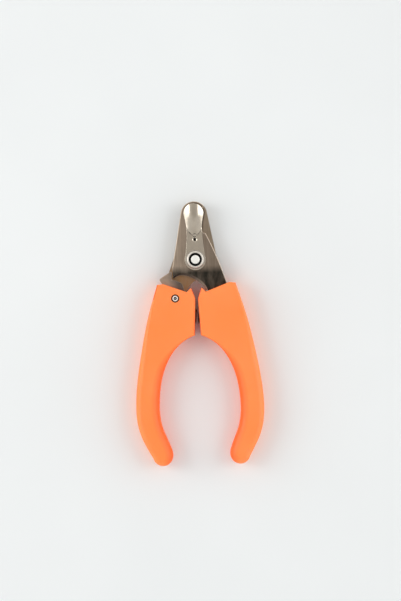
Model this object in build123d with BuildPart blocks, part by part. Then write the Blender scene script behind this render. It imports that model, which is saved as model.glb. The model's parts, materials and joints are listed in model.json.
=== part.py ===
from build123d import *

import os
from math import hypot, sqrt

# Plier-type pet nail trimmer, lying on its back: +Z out of the guard side, +Y from the handles to
# the tip, +X to the right. The origin is the middle of the footprint, on the resting plane.
# Outlines are drawn about the pivot axis; level(z) puts them at a height.

os.makedirs("parts", exist_ok=True)

# ---------------------------------------------------------------- driving dimensions (mm)
overall_length = 152.0
tip_reach = 33.6  # pivot to the tip of the jaws
pivot_y = overall_length / 2 - tip_reach

handle_thickness = 13.0
shear_z = handle_thickness / 2  # the plane where the two blades slide on each other
blade_thickness = 2.2
seat_gap = 0.02  # play left between stacked pieces
embed_gap = 0.05  # play around metal set in plastic

front_bottom = shear_z + seat_gap
front_top = front_bottom + blade_thickness
rear_top = shear_z - seat_gap
rear_bottom = rear_top - blade_thickness

# Head and jaws
tip_radius = 7.62
head_slope = 0.185  # half-width gained per mm towards the handles
heel_x = 13.3  # flat on the side of the heel, below the pivot
heel_y = -10.9
notch_radius = 6.05
notch_center = (6.65, 21.0)
hook_x = 5.7  # where the rounded tip ends above the notch
tang_round = 1.5
hook_round = 0.9
notch_top_round = 0.8
notch_foot_round = 0.4
heel_round = 0.35
edge_break = 0.3
arch_points = [(-heel_x, heel_y), (-8.4, -8.75), (-1.1, -11.1), (3.0, -14.2), (5.55, -18.1)]
arch_bevel_points = [(-13.66, -10.06), (-8.52, -7.01), (-0.26, -9.66), (4.32, -13.12), (6.81, -17.5)]
arch_bevel_depth = 0.5  # the bevel of the arch is drawn on past the face, where its points are given
arch_bevel_past = 0.1
arch_below_y = -22.4  # the room under the arch that its bevel's cutter fills
arch_below_left = 3.0
bevel_center = (5.2, 21.6)  # the ground bevel is a cone that runs out towards the pivot
bevel_radius = 6.5
bevel_depth = 1.9

# Handles
arm_round = 4.0
body_round = 0.8
body_edge_length = 6.0  # straight edges of the shoulder longer than this are rounded
slot_radius = 8.2  # reach of the lever's catch side inside the left handle
slot_end_y = -22.4
slot_height_y = 14.0  # how far the slot runs up from its end, past the shoulder
ledge_top = (-21.4, -13.0)  # inner ends of the strip where the slot's roof is cut back
ledge_foot = (-24.5, slot_end_y)
ledge_outside_x = -30.0

# Pivot stack
bolt_radius = 2.5
running_gap = 0.05
washer_radius = 5.4
washer_thickness = 0.4
washer_edge_break = 0.08
guard_thickness = 0.9
nut_radius = 4.85
nut_height = 3.5
nut_lip_round = 0.8
nut_foot_break = 0.2
insert_radius = 3.8
insert_height = 1.6
insert_below_lip = 0.35
head_radius = 4.6
head_height = 2.4
head_round = 0.9
bolt_past_nut = 0.1
bolt_end_break = 0.35
driver_slot_width = 1.2
driver_slot_depth = 1.0

# Safety guard
guard_plane = front_top + seat_gap + washer_thickness + seat_gap
eyelet_radius = 6.1
bulb_radius = 6.2
bulb_y = 26.2
neck_half_width = 4.5
crown_stations = [  # distance from the pivot, half-width and rise of the pressed crown
    (13.3, 1.0, 0.06),
    (16.5, 3.6, 0.60),
    (20.5, 4.9, 1.60),
    (24.5, 5.8, 2.65),
    (28.0, 6.2, 2.98),
    (34.0, 6.2, 3.06),
]
crown_root = 0.3  # how far the crown is drawn down into the sheet
detent_y = 11.6
blade_detent_radius = 1.2
detent_height = 0.35
detent_bump_radius = 2.3
detent_dimple_radius = 2.6
detent_dimple_depth = 0.5
pierced_radius = 0.85
ring_y = 14.0
ring_radius = 1.05
ring_width = 0.3
ring_depth = 0.12

# Lock
lock_x = -12.32
lock_y = -22.03
lever_thickness = 2.1
lever_edge_break = 0.15
lever_edge_length = 1.0  # straight edges of the lever longer than this are broken
lever_bottom = front_bottom + seat_gap
lever_boss_radius = 4.6
boss_clearance = 0.3
tab_round = 0.8
finger_round = 0.6
point_round = 0.9
rivet_radius = 1.5
rivet_head_radius = 2.9
rivet_head_height = 1.0
rivet_head_round = 0.5
rivet_head_clearance = 0.2
rivet_end_radius = 1.7
rivet_end_height = 0.7
rivet_end_round = 0.45
rivet_hole_radius = 0.9
rivet_hole_depth = 4.0
rivet_washer_thickness = 0.35
rivet_washer_clearance = 0.1
counterbore_radius = 2.4
counterbore_depth = 1.4

# Spring between the handles
spring_y = -32.9
spring_radius = 3.7
wire_radius = 0.45
spring_turns = 6.5
spring_length = 12.4
pocket_radius = 4.7
pocket_floor = 6.75
peg_radius = 2.4
peg_length = 3.6

# Plugs of plastic that run through the tangs
plug_radius = 2.0
plug_places = [(14.6, -35.5), (19.6, -48.5), (26.0, -61.5)]


def level(z):
    """Plane at height z with its origin on the pivot axis."""
    return Plane(origin=(0, pivot_y, z))


def lock_level(z):
    """Plane at height z with its origin on the lock rivet's axis."""
    return Plane(origin=(lock_x, pivot_y + lock_y, z))


def head_half_width(y):
    """Half-width of the tapered head at height y above the pivot."""
    tip_center = tip_reach - tip_radius
    at_tip = tip_radius * sqrt(1 + head_slope**2)
    return at_tip + head_slope * (tip_center - y)


# ---------------------------------------------------------------- outlines
tip_center_y = tip_reach - tip_radius
tangent_length = hypot(1, head_slope)
tip_tangent = (-tip_radius / tangent_length, tip_center_y + tip_radius * head_slope / tangent_length)
heel_start_y = tip_center_y - (heel_x - head_half_width(tip_center_y)) / head_slope
hook_end = (hook_x, tip_center_y + sqrt(tip_radius**2 - hook_x**2))

# One stamping serves for both blades: jaw on the left, tang down to the right. Only the front one
# is then pierced for the guard's detent.
with BuildSketch() as blade_outline:
    with BuildLine():
        Polyline((6.4, 15.0), (3.4, 15.9))
        ThreePointArc((3.4, 15.9), (notch_center[0] - notch_radius, notch_center[1]), (4.6, 26.7))
        Line((4.6, 26.7), hook_end)
        ThreePointArc(hook_end, (0, tip_reach), tip_tangent)
        Polyline(tip_tangent, (-heel_x, heel_start_y), (-heel_x, heel_y))
        Spline(*arch_points)
        Polyline(arch_points[-1], (9.2, -24.0), (10.6, -40.0), (16.6, -50.0), (22.0, -62.0), (25.0, -69.0))
        Polyline((25.0, -69.0), (30.6, -68.0), (27.0, -48.0), (21.4, -25.0), (17.76, -13.7))
        ThreePointArc((17.76, -13.7), (12.68, 0.63), (6.4, 15.0))
    make_face()
    tang_corners = blade_outline.vertices().group_by(Axis.Y)[0] + blade_outline.vertices().group_by(Axis.Y)[1]
    fillet(tang_corners, radius=tang_round)
    blade_corners = [
        (hook_end, hook_round),
        ((4.6, 26.7), notch_top_round),
        ((6.4, 15.0), notch_foot_round),
        ((-heel_x, heel_y), heel_round),
    ]
    for corner, corner_radius in blade_corners:
        fillet(blade_outline.vertices().sort_by_distance((*corner, 0))[0], radius=corner_radius)
    Circle(bolt_radius + running_gap, mode=Mode.SUBTRACT)
    with Locations((-lock_x, lock_y)):
        Circle(rivet_radius + running_gap, mode=Mode.SUBTRACT)
    with Locations(*plug_places):
        Circle(plug_radius, mode=Mode.SUBTRACT)

# Right handle: shoulder at the top, then an arm that bows out and comes back to a round end.
with BuildSketch() as handle_outline:
    with BuildLine():
        Spline(
            (22.6, -13.9),
            (28.6, -33.7),
            (33.2, -54.5),
            (36.7, -79.0),
            (35.4, -98.0),
            (27.9, -114.0),
        )
        ThreePointArc((27.9, -114.0), (22.2, -118.4), (16.6, -113.6))
        Spline(
            (16.6, -113.6),
            (17.3, -108.2),
            (22.0, -96.0),
            (23.2, -80.0),
            (18.5, -59.8),
            (10.8, -48.9),
            (1.76, -43.6),
            tangents=[(-0.25, 1), (-1, 0.35)],
        )
        Polyline((1.76, -43.6), (0.8, -23.3), (1.0, -21.75), (3.0, -16.2), (5.5, -18.55))
        Polyline((5.5, -18.55), (19.0, -13.6), (22.6, -13.9))
    make_face()

# Lever of the lock: boss round the rivet, tab to the left, finger and catch above.
boss_side = (lock_x - lever_boss_radius * sqrt(0.5), lock_y + lever_boss_radius * sqrt(0.5))
with BuildSketch() as lever_outline:
    with BuildLine():
        Polyline((-19.6, -14.0), (-21.3, -10.7), (-15.7, -7.2), (-14.3, -6.2), (-13.75, -7.4), (-14.2, -10.4))
        Polyline((-14.2, -10.4), (-13.9, -11.5), (-12.6, -11.6))
        Spline((-12.6, -11.6), (-10.1, -12.5), (-8.0, -14.3), (-7.2, -16.9), (-6.0, -18.7))
        Line((-6.0, -18.7), (-8.2, -24.2))
        ThreePointArc((-8.2, -24.2), (lock_x, lock_y - lever_boss_radius), boss_side)
        Line(boss_side, (-19.6, -14.0))
    make_face()
    lever_corners = [
        ((-21.3, -10.7), point_round),
        ((-14.3, -6.2), finger_round),
        ((-19.6, -14.0), tab_round),
    ]
    for corner, corner_radius in lever_corners:
        fillet(lever_outline.vertices().sort_by_distance((*corner, 0))[0], radius=corner_radius)
    with Locations((lock_x, lock_y)):
        Circle(rivet_radius + running_gap, mode=Mode.SUBTRACT)

# Guard: eyelet, waisted neck and round bulb.
with BuildSketch() as guard_outline:
    with BuildLine():
        bulb_side_y = bulb_y + 0.6
        Spline((5.5, 2.6), (5.15, 6.8), (neck_half_width, 14.0), (5.0, 21.0), (bulb_radius, bulb_side_y))
        ThreePointArc((bulb_radius, bulb_side_y), (0, bulb_y + bulb_radius), (-bulb_radius, bulb_side_y))
        Spline((-bulb_radius, bulb_side_y), (-5.0, 21.0), (-neck_half_width, 14.0), (-5.15, 6.8), (-5.5, 2.6))
        Line((-5.5, 2.6), (5.5, 2.6))
    make_face()
    Circle(eyelet_radius)
    Circle(bolt_radius + running_gap, mode=Mode.SUBTRACT)

mirrored_blade = mirror(blade_outline.sketch, about=Plane.YZ, mode=Mode.PRIVATE)
mirrored_handle = mirror(handle_outline.sketch, about=Plane.YZ, mode=Mode.PRIVATE)

# Room that a tang needs inside its handle, without the holes that the plugs fill.
with BuildSketch() as tang_room:
    make_face(blade_outline.face().outer_wire().edges())
    offset(amount=embed_gap)
mirrored_room = mirror(tang_room.sketch, about=Plane.YZ, mode=Mode.PRIVATE)


# ---------------------------------------------------------------- blades
# Everything under the arch, leaning out towards the top, cuts its ground bevel.
with BuildPart() as arch_wedge:
    for wedge_z, edge in [
        (front_top - arch_bevel_depth, arch_points),
        (front_top + arch_bevel_past, arch_bevel_points),
    ]:
        left_end = (edge[0][0] - arch_below_left, arch_below_y)
        right_end = (edge[-1][0] - arch_below_left, arch_below_y)
        with BuildSketch(level(wedge_z)):
            with BuildLine():
                Spline(*edge)
                Polyline(edge[-1], right_end, left_end, edge[0])
            make_face()
    loft()

with BuildPart() as front_blade:
    with BuildSketch(level(front_bottom)):
        add(blade_outline.sketch)
        with Locations((0, detent_y)):
            Circle(blade_detent_radius, mode=Mode.SUBTRACT)
    extrude(amount=blade_thickness)
    chamfer(front_blade.faces().sort_by(Axis.Z)[-1].outer_wire().edges(), length=edge_break)
    add(arch_wedge.part, mode=Mode.SUBTRACT)
    with Locations(level(front_top - bevel_depth) * Location(bevel_center)):
        Cone(
            bevel_radius - bevel_depth,
            bevel_radius,
            bevel_depth,
            align=(Align.CENTER, Align.CENTER, Align.MIN),
            mode=Mode.SUBTRACT,
        )
front_blade.part.label = "front_blade"
export_step(front_blade.part, "parts/front_blade.step")

with BuildPart() as rear_blade:
    with BuildSketch(level(rear_bottom)):
        add(mirrored_blade)
    extrude(amount=blade_thickness)
    chamfer(rear_blade.faces().sort_by(Axis.Z)[0].outer_wire().edges(), length=edge_break)
    with Locations(level(rear_bottom) * Location((-bevel_center[0], bevel_center[1]))):
        Cone(
            bevel_radius,
            bevel_radius - bevel_depth,
            bevel_depth,
            align=(Align.CENTER, Align.CENTER, Align.MIN),
            mode=Mode.SUBTRACT,
        )
rear_blade.part.label = "rear_blade"
export_step(rear_blade.part, "parts/rear_blade.step")

# ---------------------------------------------------------------- handles
def rim_edges(part, z):
    """Outline edges of a handle on the face at height z."""
    return part.edges().filter_by_position(Axis.Z, z - seat_gap, z + seat_gap)


def arm_edges(part, z):
    """Curved rim edges: outer side, round end and arch."""
    return rim_edges(part, z).filter_by(lambda e: e.geom_type != GeomType.LINE)


def body_edges(part, z):
    """Long straight rim edges of the shoulder."""
    return rim_edges(part, z).filter_by(GeomType.LINE).filter_by(lambda e: e.length > body_edge_length)


# A seat in the handle for one turn of the spring, with a peg that keeps the coil in place.
pocket_plane = Plane(origin=(0, pivot_y + spring_y, shear_z), x_dir=(0, 1, 0), z_dir=(1, 0, 0))
peg_plane = pocket_plane.offset(pocket_floor - peg_length)

with BuildPart() as right_handle:
    with BuildSketch(level(0)):
        add(handle_outline.sketch)
    extrude(amount=handle_thickness)
    for face_z in (0, handle_thickness):
        fillet(arm_edges(right_handle, face_z), radius=arm_round)
    for face_z in (0, handle_thickness):
        fillet(body_edges(right_handle, face_z), radius=body_round)
    with BuildSketch(level(front_bottom - embed_gap)):
        add(tang_room.sketch)
    extrude(amount=blade_thickness + 2 * embed_gap, mode=Mode.SUBTRACT)
    with BuildSketch(level(front_bottom - embed_gap)):
        with Locations(*plug_places):
            Circle(plug_radius - embed_gap)
        with Locations((-lock_x, lock_y)):
            Circle(rivet_radius)
    extrude(amount=blade_thickness + 2 * embed_gap)
    with BuildSketch(pocket_plane):
        Circle(pocket_radius)
    extrude(amount=pocket_floor, mode=Mode.SUBTRACT)
    with BuildSketch(peg_plane):
        Circle(peg_radius)
    extrude(amount=peg_length + embed_gap)
right_handle.part.label = "right_handle"
export_step(right_handle.part, "parts/right_handle.step")

# Plan of the lever's slot: boss, catch side above the rivet, and everything outwards of it.
slot_depth = lever_thickness + 2 * embed_gap
with BuildSketch() as slot_plan:
    with Locations((lock_x, lock_y)):
        Circle(slot_radius)
    with Locations((lock_x, slot_end_y)):
        Rectangle(2 * slot_radius, 2 * slot_radius, align=(Align.CENTER, Align.MAX), mode=Mode.SUBTRACT)
    with Locations((lock_x, lock_y)):
        Circle(lever_boss_radius + boss_clearance)
    with Locations((lock_x, slot_end_y)):
        Rectangle(lock_x - ledge_outside_x, slot_height_y, align=(Align.MAX, Align.MIN))
# Strip along the outer side where the slot's roof is cut back.
with BuildSketch() as strip_plan:
    with BuildLine():
        Polyline(ledge_top, ledge_foot, (ledge_outside_x, ledge_foot[1]), close=False)
        Polyline((ledge_outside_x, ledge_foot[1]), (ledge_outside_x, ledge_top[1]), ledge_top)
    make_face()

with BuildPart() as left_handle:
    with BuildSketch(level(0)):
        add(mirrored_handle)
    extrude(amount=handle_thickness)
    for face_z in (0, handle_thickness):
        fillet(arm_edges(left_handle, face_z), radius=arm_round)
    for face_z in (0, handle_thickness):
        fillet(body_edges(left_handle, face_z), radius=body_round)
    with BuildSketch(level(rear_bottom - embed_gap)):
        add(mirrored_room)
    extrude(amount=blade_thickness + 2 * embed_gap, mode=Mode.SUBTRACT)
    with BuildSketch(level(rear_bottom - embed_gap)):
        with Locations(*[(-x, y) for x, y in plug_places]):
            Circle(plug_radius - embed_gap)
    extrude(amount=blade_thickness + 2 * embed_gap)
    with BuildSketch(level(lever_bottom - embed_gap)):
        add(slot_plan.sketch)
    extrude(amount=slot_depth, mode=Mode.SUBTRACT)
    with BuildSketch(level(lever_bottom)):
        add(strip_plan.sketch)
    extrude(amount=handle_thickness, mode=Mode.SUBTRACT)
    with BuildSketch(pocket_plane):
        Circle(pocket_radius)
    extrude(amount=-pocket_floor, mode=Mode.SUBTRACT)
    with BuildSketch(pocket_plane.offset(-pocket_floor - embed_gap)):
        Circle(peg_radius)
    extrude(amount=peg_length + embed_gap)
    with BuildSketch(lock_level(0)):
        Circle(rivet_radius + running_gap)
    extrude(amount=handle_thickness, mode=Mode.SUBTRACT)
    with BuildSketch(lock_level(handle_thickness)):
        Circle(counterbore_radius)
    extrude(amount=-counterbore_depth, mode=Mode.SUBTRACT)
    with BuildSketch(lock_level(0)):
        Circle(rivet_head_radius + rivet_head_clearance)
    extrude(amount=counterbore_depth, mode=Mode.SUBTRACT)
left_handle.part.label = "left_handle"
export_step(left_handle.part, "parts/left_handle.step")

# ---------------------------------------------------------------- safety guard
sheet_top = guard_plane + guard_thickness


def crown(inset, root):
    """Pressed crown as a loft of flat arcs, each drawn down to the depth of the root below the sheet's
    top; inset gives the inner face."""
    with BuildPart() as swelling:
        for y, half_width, rise in crown_stations:
            arc_radius = (half_width**2 + rise**2) / (2 * rise)
            arc_center = rise - arc_radius
            reach = sqrt((arc_radius - inset) ** 2 - (arc_center + root) ** 2)
            with BuildSketch(Plane(origin=(0, pivot_y + y, sheet_top), x_dir=(1, 0, 0), z_dir=(0, -1, 0))):
                with BuildLine():
                    ThreePointArc((-reach, -root), (0, rise - inset), (reach, -root))
                    Line((reach, -root), (-reach, -root))
                make_face()
        loft()
    return swelling.part


with BuildPart() as bulge:
    add(crown(0, crown_root))
    with BuildSketch(level(guard_plane)):
        add(guard_outline.sketch)
    extrude(amount=handle_thickness, mode=Mode.INTERSECT)

with BuildPart() as detent_bump:
    with Locations(level(guard_plane - detent_height) * Location((0, detent_y, detent_bump_radius))):
        Sphere(detent_bump_radius)
    with BuildSketch(level(guard_plane - detent_height)):
        with Locations((0, detent_y)):
            Circle(detent_bump_radius)
    extrude(amount=detent_height + guard_thickness / 2, mode=Mode.INTERSECT)

with BuildPart() as safety_guard:
    with BuildSketch(level(guard_plane)):
        add(guard_outline.sketch)
    extrude(amount=guard_thickness)
    add(bulge.part)
    add(crown(guard_thickness, guard_thickness + crown_root), mode=Mode.SUBTRACT)
    # pressed detent: a bump below, a dimple above, pierced in the middle
    add(detent_bump.part)
    with Locations(level(sheet_top - detent_dimple_depth) * Location((0, detent_y, detent_dimple_radius))):
        Sphere(detent_dimple_radius, mode=Mode.SUBTRACT)
    with BuildSketch(level(0)):
        with Locations((0, detent_y)):
            Circle(pierced_radius)
    extrude(amount=2 * handle_thickness, mode=Mode.SUBTRACT)
    # small ring stamped at the foot of the bulge
    with BuildSketch(level(sheet_top - ring_depth)):
        with Locations((0, ring_y)):
            Circle(ring_radius)
            Circle(ring_radius - ring_width, mode=Mode.SUBTRACT)
    extrude(amount=guard_thickness, mode=Mode.SUBTRACT)
safety_guard.part.label = "safety_guard"
export_step(safety_guard.part, "parts/safety_guard.step")

# ---------------------------------------------------------------- pivot stack, from the back
blade_stack_bottom = rear_bottom - seat_gap
nut_washer_bottom = sheet_top + seat_gap
nut_bottom = nut_washer_bottom + washer_thickness + seat_gap
nut_top = nut_bottom + nut_height
head_top = blade_stack_bottom - washer_thickness - seat_gap

washers = {
    "bolt_washer": blade_stack_bottom - washer_thickness,
    "guard_washer": guard_plane - seat_gap - washer_thickness,
    "nut_washer": nut_washer_bottom,
}
for washer_name, washer_bottom in washers.items():
    with BuildPart() as washer:
        with BuildSketch(level(washer_bottom)):
            Circle(washer_radius)
            Circle(bolt_radius + running_gap, mode=Mode.SUBTRACT)
        extrude(amount=washer_thickness)
        washer_rim = washer.edges().filter_by(GeomType.CIRCLE).filter_by(lambda e: e.radius > head_radius)
        chamfer(washer_rim, length=washer_edge_break)
    washer.part.label = washer_name
    export_step(washer.part, f"parts/{washer_name}.step")

with BuildPart() as pivot_bolt:
    with BuildSketch(level(head_top - head_height)):
        Circle(head_radius)
    extrude(amount=head_height)
    fillet(pivot_bolt.faces().sort_by(Axis.Z)[0].edges(), radius=head_round)
    with BuildSketch(level(head_top)):
        Circle(bolt_radius)
    extrude(amount=nut_top + bolt_past_nut - head_top)
    chamfer(pivot_bolt.faces().sort_by(Axis.Z)[-1].edges(), length=bolt_end_break)
    with BuildSketch(level(head_top - head_height)):
        Rectangle(3 * head_radius, driver_slot_width)
    extrude(amount=driver_slot_depth, mode=Mode.SUBTRACT)
pivot_bolt.part.label = "pivot_bolt"
export_step(pivot_bolt.part, "parts/pivot_bolt.step")

with BuildPart() as pivot_nut:
    with BuildSketch(level(nut_bottom)):
        Circle(nut_radius)
        Circle(bolt_radius + seat_gap, mode=Mode.SUBTRACT)
    extrude(amount=nut_height)
    with BuildSketch(level(nut_top)):
        Circle(insert_radius + seat_gap)
    extrude(amount=-insert_height, mode=Mode.SUBTRACT)
    nut_rim = pivot_nut.edges().filter_by(GeomType.CIRCLE).sort_by(SortBy.RADIUS)[-2:]
    fillet(nut_rim.sort_by(Axis.Z)[-1], radius=nut_lip_round)
    chamfer(nut_rim.sort_by(Axis.Z)[0], length=nut_foot_break)
pivot_nut.part.label = "pivot_nut"
export_step(pivot_nut.part, "parts/pivot_nut.step")

with BuildPart() as pivot_nut_insert:
    with BuildSketch(level(nut_top - insert_height + seat_gap)):
        Circle(insert_radius)
        Circle(bolt_radius + seat_gap, mode=Mode.SUBTRACT)
    extrude(amount=insert_height - insert_below_lip)
pivot_nut_insert.part.label = "pivot_nut_insert"
export_step(pivot_nut_insert.part, "parts/pivot_nut_insert.step")

# ---------------------------------------------------------------- lock
with BuildPart() as lock_lever:
    with BuildSketch(level(lever_bottom)):
        add(lever_outline.sketch)
    extrude(amount=lever_thickness)
    lever_rim = lock_lever.faces().sort_by(Axis.Z)[-1].outer_wire().edges().filter_by(GeomType.LINE)
    chamfer(lever_rim.filter_by(lambda e: e.length > lever_edge_length), length=lever_edge_break)
lock_lever.part.label = "lock_lever"
export_step(lock_lever.part, "parts/lock_lever.step")

rivet_washer_bottom = handle_thickness - counterbore_depth + seat_gap
rivet_end_bottom = rivet_washer_bottom + rivet_washer_thickness + seat_gap
rivet_head_top = counterbore_depth - seat_gap

with BuildPart() as lock_rivet:
    with BuildSketch(lock_level(rivet_head_top - rivet_head_height)):
        Circle(rivet_head_radius)
    extrude(amount=rivet_head_height)
    fillet(lock_rivet.faces().sort_by(Axis.Z)[0].edges(), radius=rivet_head_round)
    with BuildSketch(lock_level(rivet_head_top)):
        Circle(rivet_radius)
    extrude(amount=rivet_end_bottom - rivet_head_top)
    with BuildSketch(lock_level(rivet_end_bottom)):
        Circle(rivet_end_radius)
    extrude(amount=rivet_end_height)
    fillet(lock_rivet.faces().sort_by(Axis.Z)[-1].edges(), radius=rivet_end_round)
    with BuildSketch(lock_level(rivet_end_bottom + rivet_end_height)):
        Circle(rivet_hole_radius)
    extrude(amount=-rivet_hole_depth, mode=Mode.SUBTRACT)
lock_rivet.part.label = "lock_rivet"
export_step(lock_rivet.part, "parts/lock_rivet.step")

with BuildPart() as lock_rivet_washer:
    with BuildSketch(lock_level(rivet_washer_bottom)):
        Circle(counterbore_radius - rivet_washer_clearance)
        Circle(rivet_radius + seat_gap, mode=Mode.SUBTRACT)
    extrude(amount=rivet_washer_thickness)
lock_rivet_washer.part.label = "lock_rivet_washer"
export_step(lock_rivet_washer.part, "parts/lock_rivet_washer.step")

# ---------------------------------------------------------------- spring, squeezed between the handles
coil_start = (-spring_length / 2, pivot_y + spring_y, shear_z)
with BuildPart() as main_spring:
    with BuildLine():
        coil = Helix(
            pitch=spring_length / spring_turns,
            height=spring_length,
            radius=spring_radius,
            center=coil_start,
            direction=(1, 0, 0),
        )
    with BuildSketch(Plane(origin=coil @ 0, z_dir=coil % 0)):
        Circle(wire_radius)
    sweep(is_frenet=True)
main_spring.part.label = "main_spring"
export_step(main_spring.part, "parts/main_spring.step")
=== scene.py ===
import json
import math

import bmesh
import bpy
import numpy as np
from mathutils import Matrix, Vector
from mathutils.geometry import tessellate_polygon


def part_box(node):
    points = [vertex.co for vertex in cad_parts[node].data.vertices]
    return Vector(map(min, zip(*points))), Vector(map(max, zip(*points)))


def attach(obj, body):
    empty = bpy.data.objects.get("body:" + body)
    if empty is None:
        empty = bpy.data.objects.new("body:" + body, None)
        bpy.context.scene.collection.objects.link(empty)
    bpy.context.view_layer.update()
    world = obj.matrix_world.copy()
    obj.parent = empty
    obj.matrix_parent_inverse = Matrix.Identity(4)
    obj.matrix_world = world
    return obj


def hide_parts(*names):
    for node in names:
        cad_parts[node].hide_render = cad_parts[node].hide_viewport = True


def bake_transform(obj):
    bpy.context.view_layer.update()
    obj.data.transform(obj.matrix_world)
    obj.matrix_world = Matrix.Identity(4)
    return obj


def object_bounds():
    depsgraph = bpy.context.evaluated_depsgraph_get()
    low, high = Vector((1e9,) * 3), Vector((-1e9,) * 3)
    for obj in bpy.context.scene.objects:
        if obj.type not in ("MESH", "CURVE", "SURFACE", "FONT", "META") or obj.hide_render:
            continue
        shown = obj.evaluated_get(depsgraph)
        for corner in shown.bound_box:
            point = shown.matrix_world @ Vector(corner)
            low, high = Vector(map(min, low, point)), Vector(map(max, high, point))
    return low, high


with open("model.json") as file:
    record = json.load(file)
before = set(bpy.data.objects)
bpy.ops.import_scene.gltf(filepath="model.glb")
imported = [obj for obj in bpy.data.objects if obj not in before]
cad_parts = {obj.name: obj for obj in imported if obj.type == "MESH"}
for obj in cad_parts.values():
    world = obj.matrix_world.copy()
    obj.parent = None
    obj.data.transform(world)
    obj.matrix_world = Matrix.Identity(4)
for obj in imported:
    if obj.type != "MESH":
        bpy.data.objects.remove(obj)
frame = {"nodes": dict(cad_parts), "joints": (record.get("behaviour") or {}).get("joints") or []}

MM = 0.001
cad_low, cad_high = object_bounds()
nodes = frame["nodes"]


def joint_point(name):
    """Point on a joint's axis, in the shared frame."""
    found = [j for j in frame["joints"] if j["name"] == name][0]
    return Vector(found["pos_m"])


PIVOT = joint_point("blade_pivot")
LOCK = joint_point("lock_swing")


# ------------------------------------------------------------------ node helpers
class Nodes:
    """Short calls that add and link the nodes of a tree."""

    def __init__(self, tree, coords):
        self.tree = tree
        self.coords = self.add("ShaderNodeTexCoord").outputs[coords]

    def add(self, kind, **settings):
        node = self.tree.nodes.new(kind)
        for key, value in settings.items():
            setattr(node, key, value)
        return node

    def link(self, source, target):
        self.tree.links.new(source, target)

    def put(self, socket, value):
        """Links an output to a socket, or sets its number or colour."""
        if hasattr(value, "is_output"):
            self.link(value, socket)
        else:
            socket.default_value = value

    def stretched(self, x, y, z):
        """Object coordinates scaled per axis, which draws a texture out along the small ones."""
        mapping = self.add("ShaderNodeMapping")
        self.link(self.coords, mapping.inputs["Vector"])
        mapping.inputs["Scale"].default_value = (x, y, z)
        return mapping.outputs["Vector"]

    def noise(self, scale, detail=3.0, rough=0.55, vector=None):
        node = self.add("ShaderNodeTexNoise")
        self.link(vector or self.coords, node.inputs["Vector"])
        node.inputs["Scale"].default_value = scale
        node.inputs["Detail"].default_value = detail
        node.inputs["Roughness"].default_value = rough
        return node.outputs["Fac"]

    def spread(self, value, low, high, from_low=0.0, from_high=1.0):
        """A value taken from one range to another, with both ends held."""
        node = self.add("ShaderNodeMapRange")
        self.put(node.inputs["Value"], value)
        node.inputs["From Min"].default_value = from_low
        node.inputs["From Max"].default_value = from_high
        node.inputs["To Min"].default_value = low
        node.inputs["To Max"].default_value = high
        return node.outputs["Result"]

    def maths(self, operation, *values):
        """Output of one Math node."""
        node = self.add("ShaderNodeMath", operation=operation)
        for socket, value in zip(node.inputs, values):
            self.put(socket, value)
        return node.outputs["Value"]

    def times(self, a, b):
        return self.maths("MULTIPLY", a, b)

    def plus(self, a, b):
        return self.maths("ADD", a, b)

    def minus(self, a, b):
        return self.maths("SUBTRACT", a, b)

    def size_of(self, value):
        """A value without its sign."""
        return self.maths("ABSOLUTE", value)

    def length(self, x, y):
        """Length of a flat vector."""
        return self.maths("SQRT", self.plus(self.times(x, x), self.times(y, y)))

    def mix(self, share, a, b, blend="MIX"):
        node = self.add("ShaderNodeMix", data_type="RGBA", blend_type=blend)
        self.put(node.inputs["Factor"], share)
        self.put(node.inputs["A"], a)
        self.put(node.inputs["B"], b)
        return node.outputs["Result"]

    def axis(self, letter):
        node = self.add("ShaderNodeSeparateXYZ")
        self.link(self.coords, node.inputs["Vector"])
        return node.outputs[letter]

    def off(self, x, y):
        """Distance in plan from a point, in metres."""
        return self.length(self.minus(self.axis("X"), x), self.minus(self.axis("Y"), y))

    def facing(self, letter):
        """One part of the surface's direction in the object's frame, from -1 to 1."""
        node = self.add("ShaderNodeSeparateXYZ")
        self.link(self.add("ShaderNodeTexCoord").outputs["Normal"], node.inputs["Vector"])
        return node.outputs[letter]

    def upright(self):
        """1 where the surface lies flat and 0 where it stands on edge."""
        return self.size_of(self.facing("Z"))

    def along_y(self):
        """Tangent that lies along the object's Y axis, for brushed metal."""
        turn = self.add("ShaderNodeVectorTransform", vector_type="VECTOR",
                        convert_from="OBJECT", convert_to="WORLD")
        turn.inputs["Vector"].default_value = (0, 1, 0)
        return turn.outputs["Vector"]

    def edge_sheen_and_wear(self, radius):
        """1 on sharp edges and 0 on flats, from the bevelled normal; it places painted edge sheen and wear.
        """
        bevel = self.add("ShaderNodeBevel", samples=4)
        bevel.inputs["Radius"].default_value = radius
        geometry = self.add("ShaderNodeNewGeometry")
        dot = self.add("ShaderNodeVectorMath", operation="DOT_PRODUCT")
        self.link(bevel.outputs["Normal"], dot.inputs[0])
        self.link(geometry.outputs["Normal"], dot.inputs[1])
        return self.spread(dot.outputs["Value"], 1.0, 0.0, 0.80, 0.995)

    def bump(self, height, distance, strength=1.0, below=None):
        node = self.add("ShaderNodeBump")
        self.put(node.inputs["Height"], height)
        node.inputs["Distance"].default_value = distance
        node.inputs["Strength"].default_value = strength
        if below is not None:
            self.link(below, node.inputs["Normal"])
        return node.outputs["Normal"]


class Shader(Nodes):
    """A material with one Principled surface."""

    def __init__(self, name):
        self.material = bpy.data.materials.new(name)
        self.material.use_nodes = True
        super().__init__(self.material.node_tree, "Object")
        self.bsdf = self.tree.nodes["Principled BSDF"]

    def finish(self, **values):
        names = {"color": "Base Color", "rough": "Roughness", "metal": "Metallic", "normal": "Normal",
                 "sub": "Subsurface Weight", "aniso": "Anisotropic", "tangent": "Tangent",
                 "specular": "Specular IOR Level"}
        for key, value in values.items():
            self.put(self.bsdf.inputs[names[key]], value)
        return self.material


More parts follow.
